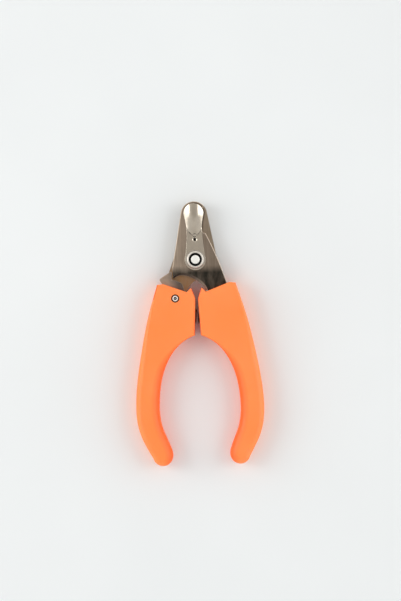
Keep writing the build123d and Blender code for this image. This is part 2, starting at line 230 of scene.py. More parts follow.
def rgb(red, green, blue):
    """Linear colour from the 0 to 255 numbers of a colour picker."""
    def linear(c):
        c /= 255
        return c / 12.92 if c <= 0.04045 else ((c + 0.055) / 1.055) ** 2.4
    return (linear(red), linear(green), linear(blue), 1.0)


# ------------------------------------------------------------------ materials
# Painted glow of the orange plastic; it also throws an orange glow on the floor round the handles.
PAINTED_GLOW = (1.0, 0.30, 0.01, 1.0)
PAINTED_GLOW_STRENGTH = 0.12


def orange_plastic():
    """Fluorescent satin plastic: fine spark-eroded grain, slight drift of colour, rubbed edges with a painted
    sheen.
    Slopes get painted shade, deepest where they face the other handle. A painted glow is added, but not in
    the narrow gap between the handles, which gets painted shade instead."""
    s = Shader("orange_plastic")
    drift = s.noise(28, 2)
    colour = s.mix(s.spread(drift, 0, 1, 0.35, 0.65), rgb(255, 136, 72), rgb(255, 141, 80))
    # Faces that stand on edge get a deeper orange: painted shade.
    colour = s.mix(s.spread(s.upright(), 0.8, 0, 0.1, 0.9), colour, rgb(255, 122, 44))
    # Down in the narrow gap between the handles the plastic gets a dark red of painted shade, and no painted
    # glow.
    out_of_gap = s.spread(s.size_of(s.axis("X")), 0, 1, 4 * MM, 13 * MM)
    lit = s.maths("MAXIMUM", s.upright(), out_of_gap)
    colour = s.mix(s.spread(lit, 1, 0, 0, 0.5), colour, rgb(196, 58, 14))
    # Slopes that face the other handle get a deeper orange: painted shade.
    outwards = s.times(s.facing("X"), s.spread(s.axis("X"), -1, 1, -2 * MM, 2 * MM))
    colour = s.mix(s.spread(outwards, 0.9, 0, -0.75, -0.04), colour, rgb(250, 88, 24))
    # Edges get a lighter orange: painted sheen, with some rubbing.
    colour = s.mix(s.times(s.edge_sheen_and_wear(0.6 * MM), 0.2), colour, rgb(255, 168, 108))
    grain = s.noise(5200, 2, 0.6)
    orange_peel = s.noise(420, 2, 0.5)
    normal = s.bump(grain, 0.02 * MM, 0.5)
    normal = s.bump(orange_peel, 0.06 * MM, 0.35, normal)
    rough = s.spread(s.noise(160, 4), 0.40, 0.52, 0.3, 0.7)
    s.bsdf.inputs["Subsurface Radius"].default_value = (3.0 * MM, 0.8 * MM, 0.2 * MM)
    s.bsdf.inputs["Emission Color"].default_value = PAINTED_GLOW
    s.put(s.bsdf.inputs["Emission Strength"], s.times(lit, PAINTED_GLOW_STRENGTH))
    return s.finish(color=colour, rough=rough, normal=normal, sub=0.25, specular=0.42)


def brushed_steel(name, light, dark, lower, shade, hole_shades=()):
    """Sheet steel ground along the jaw, with cloudy staining and a darker lower part; shade is painted shade
    that darkens it towards the right, its bevels are ground bright but dark towards the lower left, its edges
    get a painted highlight with some wear, and each spot given is a dark round patch of painted shade under a
    hole."""
    s = Shader(name)
    fine = s.noise(1.0, 4, 0.65, s.stretched(5200, 120, 900))
    broad = s.noise(1.0, 3, 0.6, s.stretched(900, 22, 200))
    cloud = s.noise(90, 3)
    share = s.plus(s.times(fine, 0.45), s.times(broad, 0.55))
    colour = s.mix(s.spread(share, 0, 1, 0.34, 0.66), dark, light)
    colour = s.mix(s.spread(cloud, 0, 0.22, 0.45, 0.7), colour, rgb(120, 100, 80))
    # Painted shade, darker towards the right.
    rightwards = s.spread(s.axis("X"), 0, shade, PIVOT.x - 7 * MM, PIVOT.x + 9 * MM)
    colour = s.mix(rightwards, colour, rgb(92, 78, 66))
    rough = s.spread(share, 0.30, 0.46, 0.3, 0.7)
    below = s.spread(s.axis("Y"), 1, 0, PIVOT.y - 7.5 * MM, PIVOT.y - 3.5 * MM)
    streaks = s.spread(s.noise(1.0, 4, 0.6, s.stretched(300, 90, 200)), 0.72, 1.0, 0.38, 0.62)
    colour = s.mix(s.times(below, streaks), colour, lower)
    rightness = s.spread(s.axis("X"), 0, 1, PIVOT.x - 6 * MM, PIVOT.x + 6 * MM)
    bevel = s.mix(s.minus(below, rightness), rgb(206, 186, 164), rgb(44, 34, 28))
    colour = s.mix(s.spread(s.upright(), 0.85, 0, 0.90, 0.995), colour, bevel)
    # Edges get a near-white painted highlight, with some wear, more of it towards the right.
    edge_highlight_and_wear = s.times(s.edge_sheen_and_wear(0.35 * MM), s.spread(rightness, 0.4, 0.9))
    colour = s.mix(edge_highlight_and_wear, colour, rgb(250, 244, 236))
    # Dark round spots of painted shade, under holes.
    for x, y, radius in hole_shades:
        colour = s.mix(s.spread(s.off(x, y), 0.95, 0, radius * 0.8, radius * 1.2), colour, rgb(14, 11, 9))
    normal = s.bump(fine, 0.012 * MM, 0.6)
    normal = s.bump(cloud, 0.04 * MM, 0.25, normal)
    return s.finish(color=colour, rough=rough, metal=1.0, normal=normal, aniso=0.75, tangent=s.along_y())


def polished_steel(name, tint, low=0.12, high=0.24, along=(2600, 90, 700), marks=(), crease=()):
    """Bright steel with hairline scratches and faint handling marks; marks are dark rings of painted shade in
    a groove or dimple, each given as its place and the range of distances from there that it fills, and
    crease is a patchy dark line of painted shade along a crease, the same on both sides of the middle, given
    by its ends."""
    s = Shader(name)
    hairs = s.noise(1.0, 4, 0.7, s.stretched(*along))
    smear = s.noise(140, 3)
    colour = s.mix(s.spread(smear, 0, 0.3, 0.4, 0.7), tint, rgb(168, 158, 148))
    rough = s.spread(s.plus(hairs, s.times(smear, 0.5)), low, high, 0.5, 1.0)
    # Painted shade along the crease.
    if crease:
        (near_x, near_y), (far_x, far_y) = crease
        height = s.axis("Y")
        edge = s.spread(height, near_x, far_x, near_y, far_y)
        gap = s.size_of(s.minus(s.size_of(s.axis("X")), edge))
        reach = s.times(s.spread(height, 0, 1, near_y, near_y + 1.2 * MM),
                        s.spread(height, 1, 0, far_y - 0.8 * MM, far_y + 0.6 * MM))
        patchy = s.spread(s.noise(700, 2), 0.25, 0.8, 0.4, 0.6)
        line = s.spread(gap, 1, 0, 0.1 * MM, 0.55 * MM)
        colour = s.mix(s.times(s.times(line, reach), patchy), colour, rgb(48, 40, 34))
    # Painted shade in the rings.
    for x, y, inner, outer in marks:
        off = s.off(x, y)
        soft = (outer - inner) * 0.3
        band = s.times(s.spread(off, 0, 1, inner - soft, inner + soft),
                       s.spread(off, 1, 0, outer - soft, outer + soft))
        colour = s.mix(s.times(band, 0.95), colour, rgb(22, 17, 14))
    normal = s.bump(hairs, 0.006 * MM, 0.5)
    return s.finish(color=colour, rough=rough, metal=1.0, normal=normal)


def black_nylon():
    """Moulded nylon, slightly chalky."""
    s = Shader("black_nylon")
    mottle = s.noise(1500, 3)
    colour = s.mix(s.spread(mottle, 0, 1, 0.35, 0.65), rgb(4, 4, 4), rgb(12, 11, 11))
    rough = s.spread(mottle, 0.62, 0.78)
    return s.finish(color=colour, rough=rough, specular=0.12, normal=s.bump(mottle, 0.02 * MM, 0.4))


def frosted_zinc(name, light, dark, metal):
    """Bright zinc with a fine crystalline frost."""
    s = Shader(name)
    grain = s.noise(2600, 4, 0.65)
    colour = s.mix(s.spread(grain, 0, 1, 0.35, 0.65), light, dark)
    rough = s.spread(grain, 0.40, 0.56, 0.3, 0.7)
    return s.finish(color=colour, rough=rough, metal=metal, normal=s.bump(grain, 0.03 * MM, 0.6))


def painted_shade_dark():
    """Blackened washer, near black and reddish: painted shade of the counterbore round the rivet, also used
    for the painted shade inside the rivet's hollow.
    """
    s = Shader("painted_shade_dark")
    mottle = s.noise(1800, 3)
    colour = s.mix(s.spread(mottle, 0, 1, 0.35, 0.65), rgb(26, 13, 8), rgb(52, 27, 17))
    rough = s.spread(mottle, 0.5, 0.65)
    return s.finish(color=colour, rough=rough, metal=0.5, normal=s.bump(mottle, 0.02 * MM, 0.4))


def sheared_edge_shade():
    """Cut edge of pressed sheet: a burnished band over a torn one, dull, and dark enough to paint the shade
    beside the guard.
    """
    s = Shader("sheared_edge_shade")
    tears = s.noise(1.0, 4, 0.7, s.stretched(4200, 4200, 300))
    colour = s.mix(s.spread(tears, 0, 1, 0.35, 0.65), rgb(48, 39, 32), rgb(84, 73, 63))
    return s.finish(color=colour, rough=0.62, metal=0.85, normal=s.bump(tears, 0.03 * MM, 0.6))


def tumbled_steel():
    """Pressed lever: barrel-tumbled, so it is even and dull, with small dents; darker towards the blades."""
    s = Shader("tumbled_steel")
    dents = s.noise(900, 4, 0.6)
    cloud = s.noise(120, 3)
    colour = s.mix(s.spread(cloud, 0, 1, 0.35, 0.65), rgb(204, 182, 162), rgb(168, 148, 132))
    inwards = s.spread(s.axis("X"), 0, 1, PIVOT.x - 16.5 * MM, PIVOT.x - 10 * MM)
    colour = s.mix(s.times(inwards, 0.8), colour, rgb(96, 86, 80))
    # Edges get a near-white painted rim highlight, with some wear.
    colour = s.mix(s.times(s.edge_sheen_and_wear(0.3 * MM), 0.7), colour, rgb(244, 236, 226))
    rough = s.spread(dents, 0.34, 0.50, 0.3, 0.7)
    return s.finish(color=colour, rough=rough, metal=1.0, normal=s.bump(dents, 0.03 * MM, 0.5))


def drawn_wire():
    """Spring wire with drawing lines."""
    s = Shader("drawn_wire")
    lines = s.noise(1.0, 3, 0.6, s.stretched(600, 2600, 2600))
    colour = s.mix(s.spread(lines, 0, 1, 0.3, 0.7), rgb(120, 116, 112), rgb(176, 172, 168))
    rough = s.spread(lines, 0.22, 0.36)
    return s.finish(color=colour, rough=rough, metal=1.0, normal=s.bump(lines, 0.01 * MM, 0.4))


def pale_floor():
    """Almost white matt board."""
    s = Shader("pale_floor")
    tone = s.noise(9, 2)
    colour = s.mix(s.spread(tone, 0, 1, 0.3, 0.7), rgb(240, 243, 243), rgb(243, 246, 246))
    return s.finish(color=colour, rough=0.62, specular=0.25, normal=s.bump(s.noise(900, 3), 0.02 * MM, 0.2))


# ------------------------------------------------------------------ mesh helpers
SEAT = 0.02 * MM  # play between stacked pieces
ON_AXIS = 0.001 * MM  # radius of a turned profile's points in the middle of a cutter


def mesh_piece(name, points, faces, material, smooth=30.0):
    """Object from points in metres; edges sharper than the angle stay crisp."""
    mesh = bpy.data.meshes.new(name)
    mesh.from_pydata([tuple(p) for p in points], [], faces)
    mesh.validate()
    bm = bmesh.new()
    bm.from_mesh(mesh)
    bmesh.ops.recalc_face_normals(bm, faces=bm.faces)
    bm.to_mesh(mesh)
    bm.free()
    mesh.shade_smooth()
    mesh.set_sharp_from_angle(angle=math.radians(smooth))
    piece = bpy.data.objects.new(name, mesh)
    bpy.context.scene.collection.objects.link(piece)
    mesh.materials.append(material)
    return piece


def loft(rings, closed=False):
    """Points and faces of a tube through rings of equal length; its two ends are capped unless closed."""
    count = len(rings[0])
    points = [p for ring in rings for p in ring]
    faces = []
    spans = len(rings) if closed else len(rings) - 1
    for i in range(spans):
        low, high = i * count, ((i + 1) % len(rings)) * count
        for k in range(count):
            m = (k + 1) % count
            faces.append((low + k, low + m, high + m, high + k))
    if not closed:
        faces.append(tuple(range(count - 1, -1, -1)))
        faces.append(tuple(range((len(rings) - 1) * count, len(rings) * count)))
    return points, faces


def turned(profile, origin, along, side, segments=96):
    """Points and faces of a solid of revolution: a closed profile of (radius, height) about an axis."""
    across = along.cross(side)
    rings = []
    for k in range(segments):
        turn = 2 * math.pi * k / segments
        out = side * math.cos(turn) + across * math.sin(turn)
        rings.append([origin + out * radius + along * height for radius, height in profile])
    return loft(rings, closed=True)


def prism(outline, low, high):
    """Points and faces of a straight-sided block on a plan outline."""
    return loft([[Vector((x, y, low)) for x, y in outline], [Vector((x, y, high)) for x, y in outline]])


def circle(centre, radius, segments=64, start=0.0, end=360.0):
    """Points on a circle, or on an arc of it that includes both ends."""
    whole = abs(end - start) >= 360
    steps = segments if whole else segments - 1
    turns = [math.radians(start + (end - start) * k / steps) for k in range(segments)]
    return [(centre[0] + radius * math.cos(t), centre[1] + radius * math.sin(t)) for t in turns]


def cut(piece, points, faces):
    """Takes a closed shape out of a piece, and applies it."""
    cutter = mesh_piece("cutter", points, faces, piece.data.materials[0])
    difference = piece.modifiers.new("cut", "BOOLEAN")
    difference.operation = "DIFFERENCE"
    difference.solver = "EXACT"
    difference.object = cutter
    bpy.context.view_layer.update()
    evaluated = piece.evaluated_get(bpy.context.evaluated_depsgraph_get())
    mesh = bpy.data.meshes.new_from_object(evaluated)
    piece.modifiers.clear()
    piece.data = mesh
    bpy.data.objects.remove(cutter)


def crisp(piece, angle=30.0):
    piece.data.shade_smooth()
    piece.data.set_sharp_from_angle(angle=math.radians(angle))


def flowing(points, step, first=None, last=None):
    """Points along the cubic spline through some points, with optional end directions."""
    p = np.array(points, float)
    span = np.linalg.norm(np.diff(p, axis=0), axis=1)
    n = len(p)
    system = np.zeros((n, n))
    right = np.zeros((n, 2))
    for i in range(1, n - 1):
        system[i, i - 1], system[i, i + 1] = span[i], span[i - 1]
        system[i, i] = 2 * (span[i - 1] + span[i])
        right[i] = 3 * (span[i] * (p[i] - p[i - 1]) / span[i - 1] + span[i - 1] * (p[i + 1] - p[i]) / span[i])
    for i, j, direction in ((0, 1, first), (n - 1, n - 2, last)):
        system[i, i] = 1 if direction else 2
        system[i, j] = 0 if direction else 1
        near = span[0] if i == 0 else span[-1]
        chord = (p[1] - p[0]) / near if i == 0 else (p[-1] - p[-2]) / near
        right[i] = np.array(direction) / np.linalg.norm(direction) if direction else 3 * chord
    slopes = np.linalg.solve(system, right)
    out = []
    for i in range(n - 1):
        pieces = max(2, round(span[i] / step))
        for k in range(pieces):
            t = k / pieces
            h00, h10 = 2 * t**3 - 3 * t**2 + 1, t**3 - 2 * t**2 + t
            h01, h11 = -2 * t**3 + 3 * t**2, t**3 - t**2
            at = h00 * p[i] + h10 * span[i] * slopes[i] + h01 * p[i + 1] + h11 * span[i] * slopes[i + 1]
            out.append(tuple(at))
    return out + [tuple(p[-1])]


def bowed(a, through, b, step):
    """Points on the circular arc from a through a middle point to b."""
    (ax, ay), (mx, my), (bx, by) = a, through, b
    d = 2 * (ax * (my - by) + mx * (by - ay) + bx * (ay - my))
    sa, sm, sb = ax**2 + ay**2, mx**2 + my**2, bx**2 + by**2
    cx = (sa * (my - by) + sm * (by - ay) + sb * (ay - my)) / d
    cy = (sa * (bx - mx) + sm * (ax - bx) + sb * (mx - ax)) / d
    radius = math.hypot(ax - cx, ay - cy)
    first, mid, last = (math.atan2(y - cy, x - cx) for x, y in (a, through, b))
    ccw = (mid - first) % math.tau < (last - first) % math.tau
    sweep = (last - first) % math.tau if ccw else -((first - last) % math.tau)
    count = max(3, round(abs(sweep) * radius / step))
    turns = [first + sweep * k / count for k in range(count + 1)]
    return [(cx + radius * math.cos(t), cy + radius * math.sin(t)) for t in turns]


def smooth_step(value, low, high):
    t = min(1.0, max(0.0, (value - low) / (high - low)))
    return t * t * (3 - 2 * t)


# ------------------------------------------------------------------ handles
HANDLE_LOW, HANDLE_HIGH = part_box("right_handle")
HANDLE_MIDDLE = (HANDLE_LOW.z + HANDLE_HIGH.z) / 2
INNER_ROUND = 5.0 * MM  # rounding of an arm on the finger side: how far in, and how far down
OUTER_ROUND = 3.4 * MM
ARM_DROP = 4.6 * MM
BODY_ROUND = 0.7 * MM
BODY_SIDE_ROUND = 1.3 * MM
PARTING_HALF = 0.12 * MM
PARTING_RISE = 0.045 * MM
SPRING_Y = -32.9 * MM
POCKET_RADIUS = 4.7 * MM
POCKET_FLOOR = 6.75 * MM
PEG_RADIUS = 2.4 * MM
PEG_END = 3.15 * MM
PEG_BREAK = 0.3 * MM
CAP_SHARE = 1.03  # the flat faces start just inside the rounding


def handle_outline():
    """Right handle in plan about the pivot, clockwise: points in mm, then inset and drop of the rounding."""
    step = 0.6
    outer = flowing([(22.6, -13.9), (28.6, -33.7), (33.2, -54.5),
                     (36.7, -79.0), (35.4, -98.0), (27.9, -114.0)], step)
    end = bowed((27.9, -114.0), (22.2, -118.4), (16.6, -113.6), step)
    inner = flowing([(16.6, -113.6), (17.3, -108.2), (22.0, -96.0), (23.2, -80.0),
                     (18.5, -59.8), (10.8, -48.9), (1.76, -43.6)], step, (-0.25, 1), (-1, 0.35))

    def rounded(points, body, full, start, finish):
        """Adds the rounding, which grows from the body's to the arm's between two distances down."""
        out = []
        for x, y in points:
            share = smooth_step(-y, start, finish)
            out.append((x, y, body + (full - body) * share, body + (ARM_DROP - body) * share))
        return out

    marked = rounded(outer[:-1], BODY_SIDE_ROUND, OUTER_ROUND, 20, 62)
    for k, (x, y) in enumerate(end[:-1]):
        share = k / len(end)
        marked.append((x, y, OUTER_ROUND + (INNER_ROUND - OUTER_ROUND) * share, ARM_DROP))
    marked += rounded(inner, BODY_ROUND, INNER_ROUND, 43.6, 66)
    corners = [(1.76, -43.6), (0.8, -23.3), (1.0, -21.75), (3.0, -16.2),
               (5.5, -18.55), (19.0, -13.6), (22.6, -13.9)]
    for (ax, ay), (bx, by) in zip(corners, corners[1:]):
        count = max(2, round(math.hypot(bx - ax, by - ay) / 1.5))
        marked += [(ax + (bx - ax) * k / count, ay + (by - ay) * k / count, BODY_ROUND, BODY_ROUND)
                   for k in range(1, count + 1)]
    return marked[:-1]


def inward(outline):
    """Direction into the material at each point of a clockwise outline, mitred at corners."""
    out = []
    count = len(outline)
    for i in range(count):
        back = Vector(outline[i][:2]) - Vector(outline[i - 1][:2])
        ahead = Vector(outline[(i + 1) % count][:2]) - Vector(outline[i][:2])
        sides = [Vector((v.y, -v.x)).normalized() for v in (back, ahead)]
        middle = (sides[0] + sides[1]).normalized()
        out.append(middle / max(0.4, middle.dot(sides[0])))
    return out


def handle(name, hand, material):
    """One moulded handle; hand is 1 for the right and -1 for the left."""
    outline = handle_outline()
    directions = inward(outline)
    steps = 10
    low, high = HANDLE_LOW.z, HANDLE_HIGH.z

    def ring(share, height, out=0.0):
        """Loop at a share of each point's inset, less a distance out; height takes the point's drop."""
        points = []
        for (x, y, inset, drop), direction in zip(outline, directions):
            px = x * MM + direction.x * (inset * share - out)
            py = y * MM + direction.y * (inset * share - out)
            points.append(Vector((PIVOT.x + hand * px, PIVOT.y + py, height(drop))))
        return points

    turns = [math.radians(90 * k / steps) for k in range(steps + 1)]
    rings = [ring(CAP_SHARE, lambda drop: low)]
    for turn in reversed(turns):
        rings.append(ring(1 - math.cos(turn), lambda drop: low + drop * (1 - math.sin(turn))))
    for offset, rise in ((-2, 0), (-1, PARTING_RISE), (1, PARTING_RISE), (2, 0)):
        rings.append(ring(0, lambda drop: HANDLE_MIDDLE + offset * PARTING_HALF / 2, rise))
    for turn in turns:
        rings.append(ring(1 - math.cos(turn), lambda drop: high - drop * (1 - math.sin(turn))))
    rings.append(ring(CAP_SHARE, lambda drop: high))
    points, faces = loft(rings)
    caps, faces = faces[-2:], faces[:-2]
    for cap in caps:
        loop = [points[i] for i in cap]
        faces += [tuple(cap[i] for i in triangle) for triangle in tessellate_polygon([loop])]
    piece = mesh_piece(name, points, faces, material)
    pocket_at = Vector((PIVOT.x, PIVOT.y + SPRING_Y, HANDLE_MIDDLE))
    profile = [(ON_AXIS, -MM), (POCKET_RADIUS, -MM), (POCKET_RADIUS, POCKET_FLOOR),
               (PEG_RADIUS, POCKET_FLOOR), (PEG_RADIUS, PEG_END + PEG_BREAK),
               (PEG_RADIUS - PEG_BREAK, PEG_END), (ON_AXIS, PEG_END)]
    cut(piece, *turned(profile, pocket_at, Vector((hand, 0, 0)), Vector((0, 1, 0))))
    return piece


def left_handle_cuts(piece):
    """Slot for the lock lever, ledge beside it, and the two counterbores of the rivet."""
    lever_low, lever_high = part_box("lock_lever")
    play = 0.05 * MM
    floor, roof = lever_low.z - play, lever_high.z + play
    slot_end = LOCK.y - 0.37 * MM
    reach, boss = 8.2 * MM, 4.9 * MM
    end_dip = 2.6  # degrees that the catch's sweep goes past square
    clear = MM  # how far a cutter stands out of the handle
    centre = (LOCK.x, LOCK.y)
    cut(piece, *prism(circle(centre, boss), floor, roof))
    catch_side = [(x, max(y, slot_end)) for x, y in circle(centre, reach, 80, -end_dip, 180 + end_dip)]
    cut(piece, *prism(catch_side, floor, roof))
    far_x, far_y = LOCK.x - 18 * MM, slot_end + 14 * MM
    outwards = [(LOCK.x, slot_end), (LOCK.x, far_y), (far_x, far_y), (far_x, slot_end)]
    cut(piece, *prism(outwards, floor, roof))
    ledge = [(-21.4, -13.0), (-24.5, -22.4), (-30.0, -22.4), (-30.0, -13.0)]
    ledge = [(PIVOT.x + x * MM, PIVOT.y + y * MM) for x, y in ledge]
    cut(piece, *prism(ledge, lever_low.z, HANDLE_HIGH.z + clear))
    depth, end_radius, head_radius, shank_radius = 1.4 * MM, 2.4 * MM, 3.1 * MM, 1.55 * MM
    cut(piece, *prism(circle(centre, end_radius), HANDLE_HIGH.z - depth, HANDLE_HIGH.z + clear))
    cut(piece, *prism(circle(centre, head_radius), HANDLE_LOW.z - clear, HANDLE_LOW.z + depth))
    cut(piece, *prism(circle(centre, shank_radius), HANDLE_LOW.z - clear, HANDLE_HIGH.z + clear))


# ------------------------------------------------------------------ safety guard
SHEET_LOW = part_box("guard_washer")[1].z + SEAT
SHEET_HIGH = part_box("nut_washer")[0].z - SEAT
# From here to the end of the guard, lengths are in mm and measured from the pivot.
EYELET_RADIUS = 6.1
BORE_RADIUS = 2.56
TIP_Y = 32.4
BULB_START, BULB_CENTRE, BULB_RADIUS = 26.8, 26.17, 6.23  # the round end
DETENT_Y, DETENT_RADIUS, DETENT_DEPTH, DETENT_BUMP = 11.6, 1.6, 0.55, 0.33
HOLE_RADIUS = 0.85
RING_Y, RING_RADIUS, RING_WIDTH, RING_DEPTH = 14.0, 0.85, 0.2, 0.16
GUARD_SIDE = [(2.6, 5.52), (6.8, 5.15), (14.0, 4.5), (21.0, 5.0), (26.8, 6.2)]
CROWN_SIDE = [(13.3, 1.0), (16.5, 3.6), (20.5, 4.9), (24.5, 5.8), (28.0, 6.2), (34.0, 6.2)]
CROWN_HEIGHT = [(13.3, 0.0), (16.5, 0.6), (20.5, 1.6), (24.5, 2.65), (28.0, 2.98), (34.0, 3.06)]


def table_curve(pairs):
    """Smooth function through (y, value) pairs."""
    curve = np.array(flowing(pairs, 0.1))
    return lambda y: float(np.interp(y, curve[:, 0], curve[:, 1]))


def safety_guard(material, edge_shade):
    """Pressed sheet: eyelet, waisted neck, and a bulge that opens towards the tip like half a pipe."""
    side, crown_side, crown_height = (table_curve(t) for t in (GUARD_SIDE, CROWN_SIDE, CROWN_HEIGHT))
    thickness = (SHEET_HIGH - SHEET_LOW) / MM
    least_rise, least_width, crease_width = 0.004, 0.3, 0.1

    def half_width(y):
        """Half of the sheet's width in plan."""
        if y < GUARD_SIDE[0][0]:
            return math.sqrt(max(0.0, EYELET_RADIUS**2 - y**2))
        if y > BULB_START:
            return math.sqrt(max(0.0, BULB_RADIUS**2 - (y - BULB_CENTRE) ** 2))
        return side(y)

    def joined(a, b, width):
        """The larger of two heights, with the crease between them rounded over a width."""
        return 0.5 * (a + b + math.sqrt((a - b) ** 2 + width**2)) - width / 8

    def skin(x, y, inset):
        """Height of the sheet's outer face, or of its inner face, above the plane of its outer face."""
        z = -inset
        if y > CROWN_SIDE[0][0]:
            reach, rise = crown_side(y), max(crown_height(y), least_rise)
            radius = (reach**2 + rise**2) / (2 * rise)
            swell = math.sqrt(max(0.01, (radius - inset) ** 2 - x**2)) - (radius - rise)
            z = joined(z, swell, crease_width)
        off = math.hypot(x, y - DETENT_Y)
        depth = DETENT_DEPTH if inset == 0 else DETENT_BUMP
        z -= depth * (1 - smooth_step(off, 0.2, DETENT_RADIUS))
        if inset == 0:
            ring_off = abs(math.hypot(x, y - RING_Y) - RING_RADIUS)
            z -= RING_DEPTH * (1 - smooth_step(ring_off, RING_WIDTH * 0.4, RING_WIDTH * 1.4))
        return z

    rows, columns, corner, flank = 320, 100, 0.14, 0.7
    rings = []
    for i in range(rows + 1):
        y = -EYELET_RADIUS + (TIP_Y + EYELET_RADIUS) * (1 - math.cos(math.pi * i / rows)) / 2
        width = max(half_width(y), least_width)
        steep = smooth_step(y, 15, 19)  # the bulge is pressed off centre, so its right flank is wider; its dark edge colour paints the shadow beside the guard
        right = corner + (flank - corner) * steep
        last, first = max(width - right, 0.05), -max(width - corner, 0.05)
        across = [first + (last - first) * k / columns for k in range(columns + 1)]
        row = [(x, skin(x, y, 0)) for x in across]
        foot, side_top = skin(last, y, thickness), skin(width, y, 0)
        row += [(last + (0.7 - 0.5 * steep) * right, row[-1][1] - 0.2 * right), (width, side_top - corner)]
        row += [(width, foot + corner), (last + 0.7 * right, foot + 0.3 * corner)]
        row += [(x, skin(x, y, thickness)) for x in reversed(across)]
        row += [(first - 0.7 * corner, row[-1][1] + 0.3 * corner), (-width, row[-1][1] + corner)]
        row += [(-width, side_top - corner), (first - 0.7 * corner, side_top - 0.3 * corner)]
        rings.append([Vector((PIVOT.x + x * MM, PIVOT.y + y * MM, SHEET_HIGH + z * MM)) for x, z in row])
    piece = mesh_piece("safety_guard_sheet", *loft(rings), material, smooth=40)
    piece.data.materials.append(edge_shade)
    # The sheet's sides and its flanks take the dark edge colour, which paints the shadow beside the guard.
    around = 2 * (columns + 1) + 8
    for face in piece.data.polygons[: rows * around]:
        column = face.index % around
        if columns < column <= columns + 3 or 2 * columns + 5 < column <= 2 * columns + 8:
            face.material_index = 1
    for y, radius, segments in ((0, BORE_RADIUS, 64), (DETENT_Y, HOLE_RADIUS, 40)):
        hole = circle((PIVOT.x, PIVOT.y + y * MM), radius * MM, segments)
        cut(piece, *prism(hole, SHEET_LOW - 2 * MM, SHEET_HIGH + MM))
    crisp(piece, 40)
    # Every steep face, the walls of the holes too, takes the dark edge colour of painted shade.
    for face in piece.data.polygons:
        if abs(face.normal.z) < 0.1:
            face.material_index = 1
    return piece


# ------------------------------------------------------------------ spring
COIL_RADIUS = 3.7 * MM
WIRE_RADIUS = 0.45 * MM
COIL_HALF = 6.2 * MM  # from the middle to the centre of an end wire
COIL_TURNS = 7.0
END_PITCH = 0.93 * MM


def main_spring(material):
    """Coil with a closed turn at each end, axis along X between the two pockets."""
    per_turn, around = 44, 14
    steps = round(COIL_TURNS * per_turn)
    free = 2 * COIL_HALF - 2 * END_PITCH
    centre = Vector((PIVOT.x, PIVOT.y + SPRING_Y, HANDLE_MIDDLE))

    def place(turn):
        ends = min(turn, 1.0) * END_PITCH + max(0.0, turn - COIL_TURNS + 1) * END_PITCH
        middle = min(max(turn - 1, 0.0), COIL_TURNS - 2) / (COIL_TURNS - 2) * free
        angle = math.tau * (turn - COIL_TURNS / 2) + math.pi / 2
        along = ends + middle - COIL_HALF
        return Vector((along, COIL_RADIUS * math.cos(angle), COIL_RADIUS * math.sin(angle)))

    rings = []
    for i in range(steps + 1):
        turn = COIL_TURNS * i / steps
        here = place(turn)
        ahead = (place(min(turn + 0.01, COIL_TURNS)) - place(max(turn - 0.01, 0))).normalized()
        out = Vector((0, here.y, here.z)).normalized()
        side = ahead.cross(out).normalized()
        out = side.cross(ahead)
        turns = [math.tau * k / around for k in range(around)]
        rings.append([centre + here + (out * math.cos(t) + side * math.sin(t)) * WIRE_RADIUS for t in turns])
    return mesh_piece("main_spring_coil", *loft(rings), material, smooth=50)


# ------------------------------------------------------------------ fasteners
UP = Vector((0, 0, 1))
ACROSS = Vector((1, 0, 0))
SHANK_RADIUS = 2.5  # in mm, as all the profiles below
HOLE_ON_SHANK = 2.54


def arc(centre, radius, start, end, steps=8):
    """Points (radius, height) on a rounding of a turned profile, in mm."""
    turns = [math.radians(start + (end - start) * k / steps) for k in range(steps + 1)]
    return [(centre[0] + radius * math.cos(t), centre[1] + radius * math.sin(t)) for t in turns]


def lathe(name, profile, at, material, segments=128):
    """Turned piece from a closed profile in mm about a vertical axis."""
    least = 1e-4  # keeps the points on the axis apart
    scaled = [(max(radius, least) * MM, height * MM) for radius, height in profile]
    points, faces = turned(scaled, Vector((at.x, at.y, 0)), UP, ACROSS, segments)
    return mesh_piece(name, points, faces, material, smooth=35)


def half_size(node):
    """Half of a CAD node's width, in mm."""
    low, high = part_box(node)
    return (high.x - low.x) / 2 / MM


def pivot_nut(material):
    """Flanged collar with a rolled lip that holds the nylon ring."""
    low, high = (corner.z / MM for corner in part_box("pivot_nut"))
    profile = [(HOLE_ON_SHANK, low), (4.55, low)] + arc((4.55, low + 0.3), 0.3, -90, 0, 4)
    profile += arc((4.15, high - 0.7), 0.7, 0, 90, 10) + arc((4.06, high - 0.24), 0.24, 90, 180, 6)
    profile += [(3.82, high - 1.62), (HOLE_ON_SHANK, high - 1.62)]
    return lathe("pivot_nut_collar", profile, PIVOT, material)


def pivot_insert(material):
    """Nylon ring, dished between the collar and the bolt."""
    low, high = (corner.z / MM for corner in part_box("pivot_nut_insert"))
    profile = [(HOLE_ON_SHANK, low), (3.79, low), (3.79, high - 0.12)]
    profile += arc((3.63, high - 0.16), 0.16, 0, 90, 4)
    profile += [(3.1, high - 0.2), (2.75, high - 0.14), (2.62, high - 0.16), (HOLE_ON_SHANK, high - 0.25)]
    return lathe("pivot_nut_ring", profile, PIVOT, material)


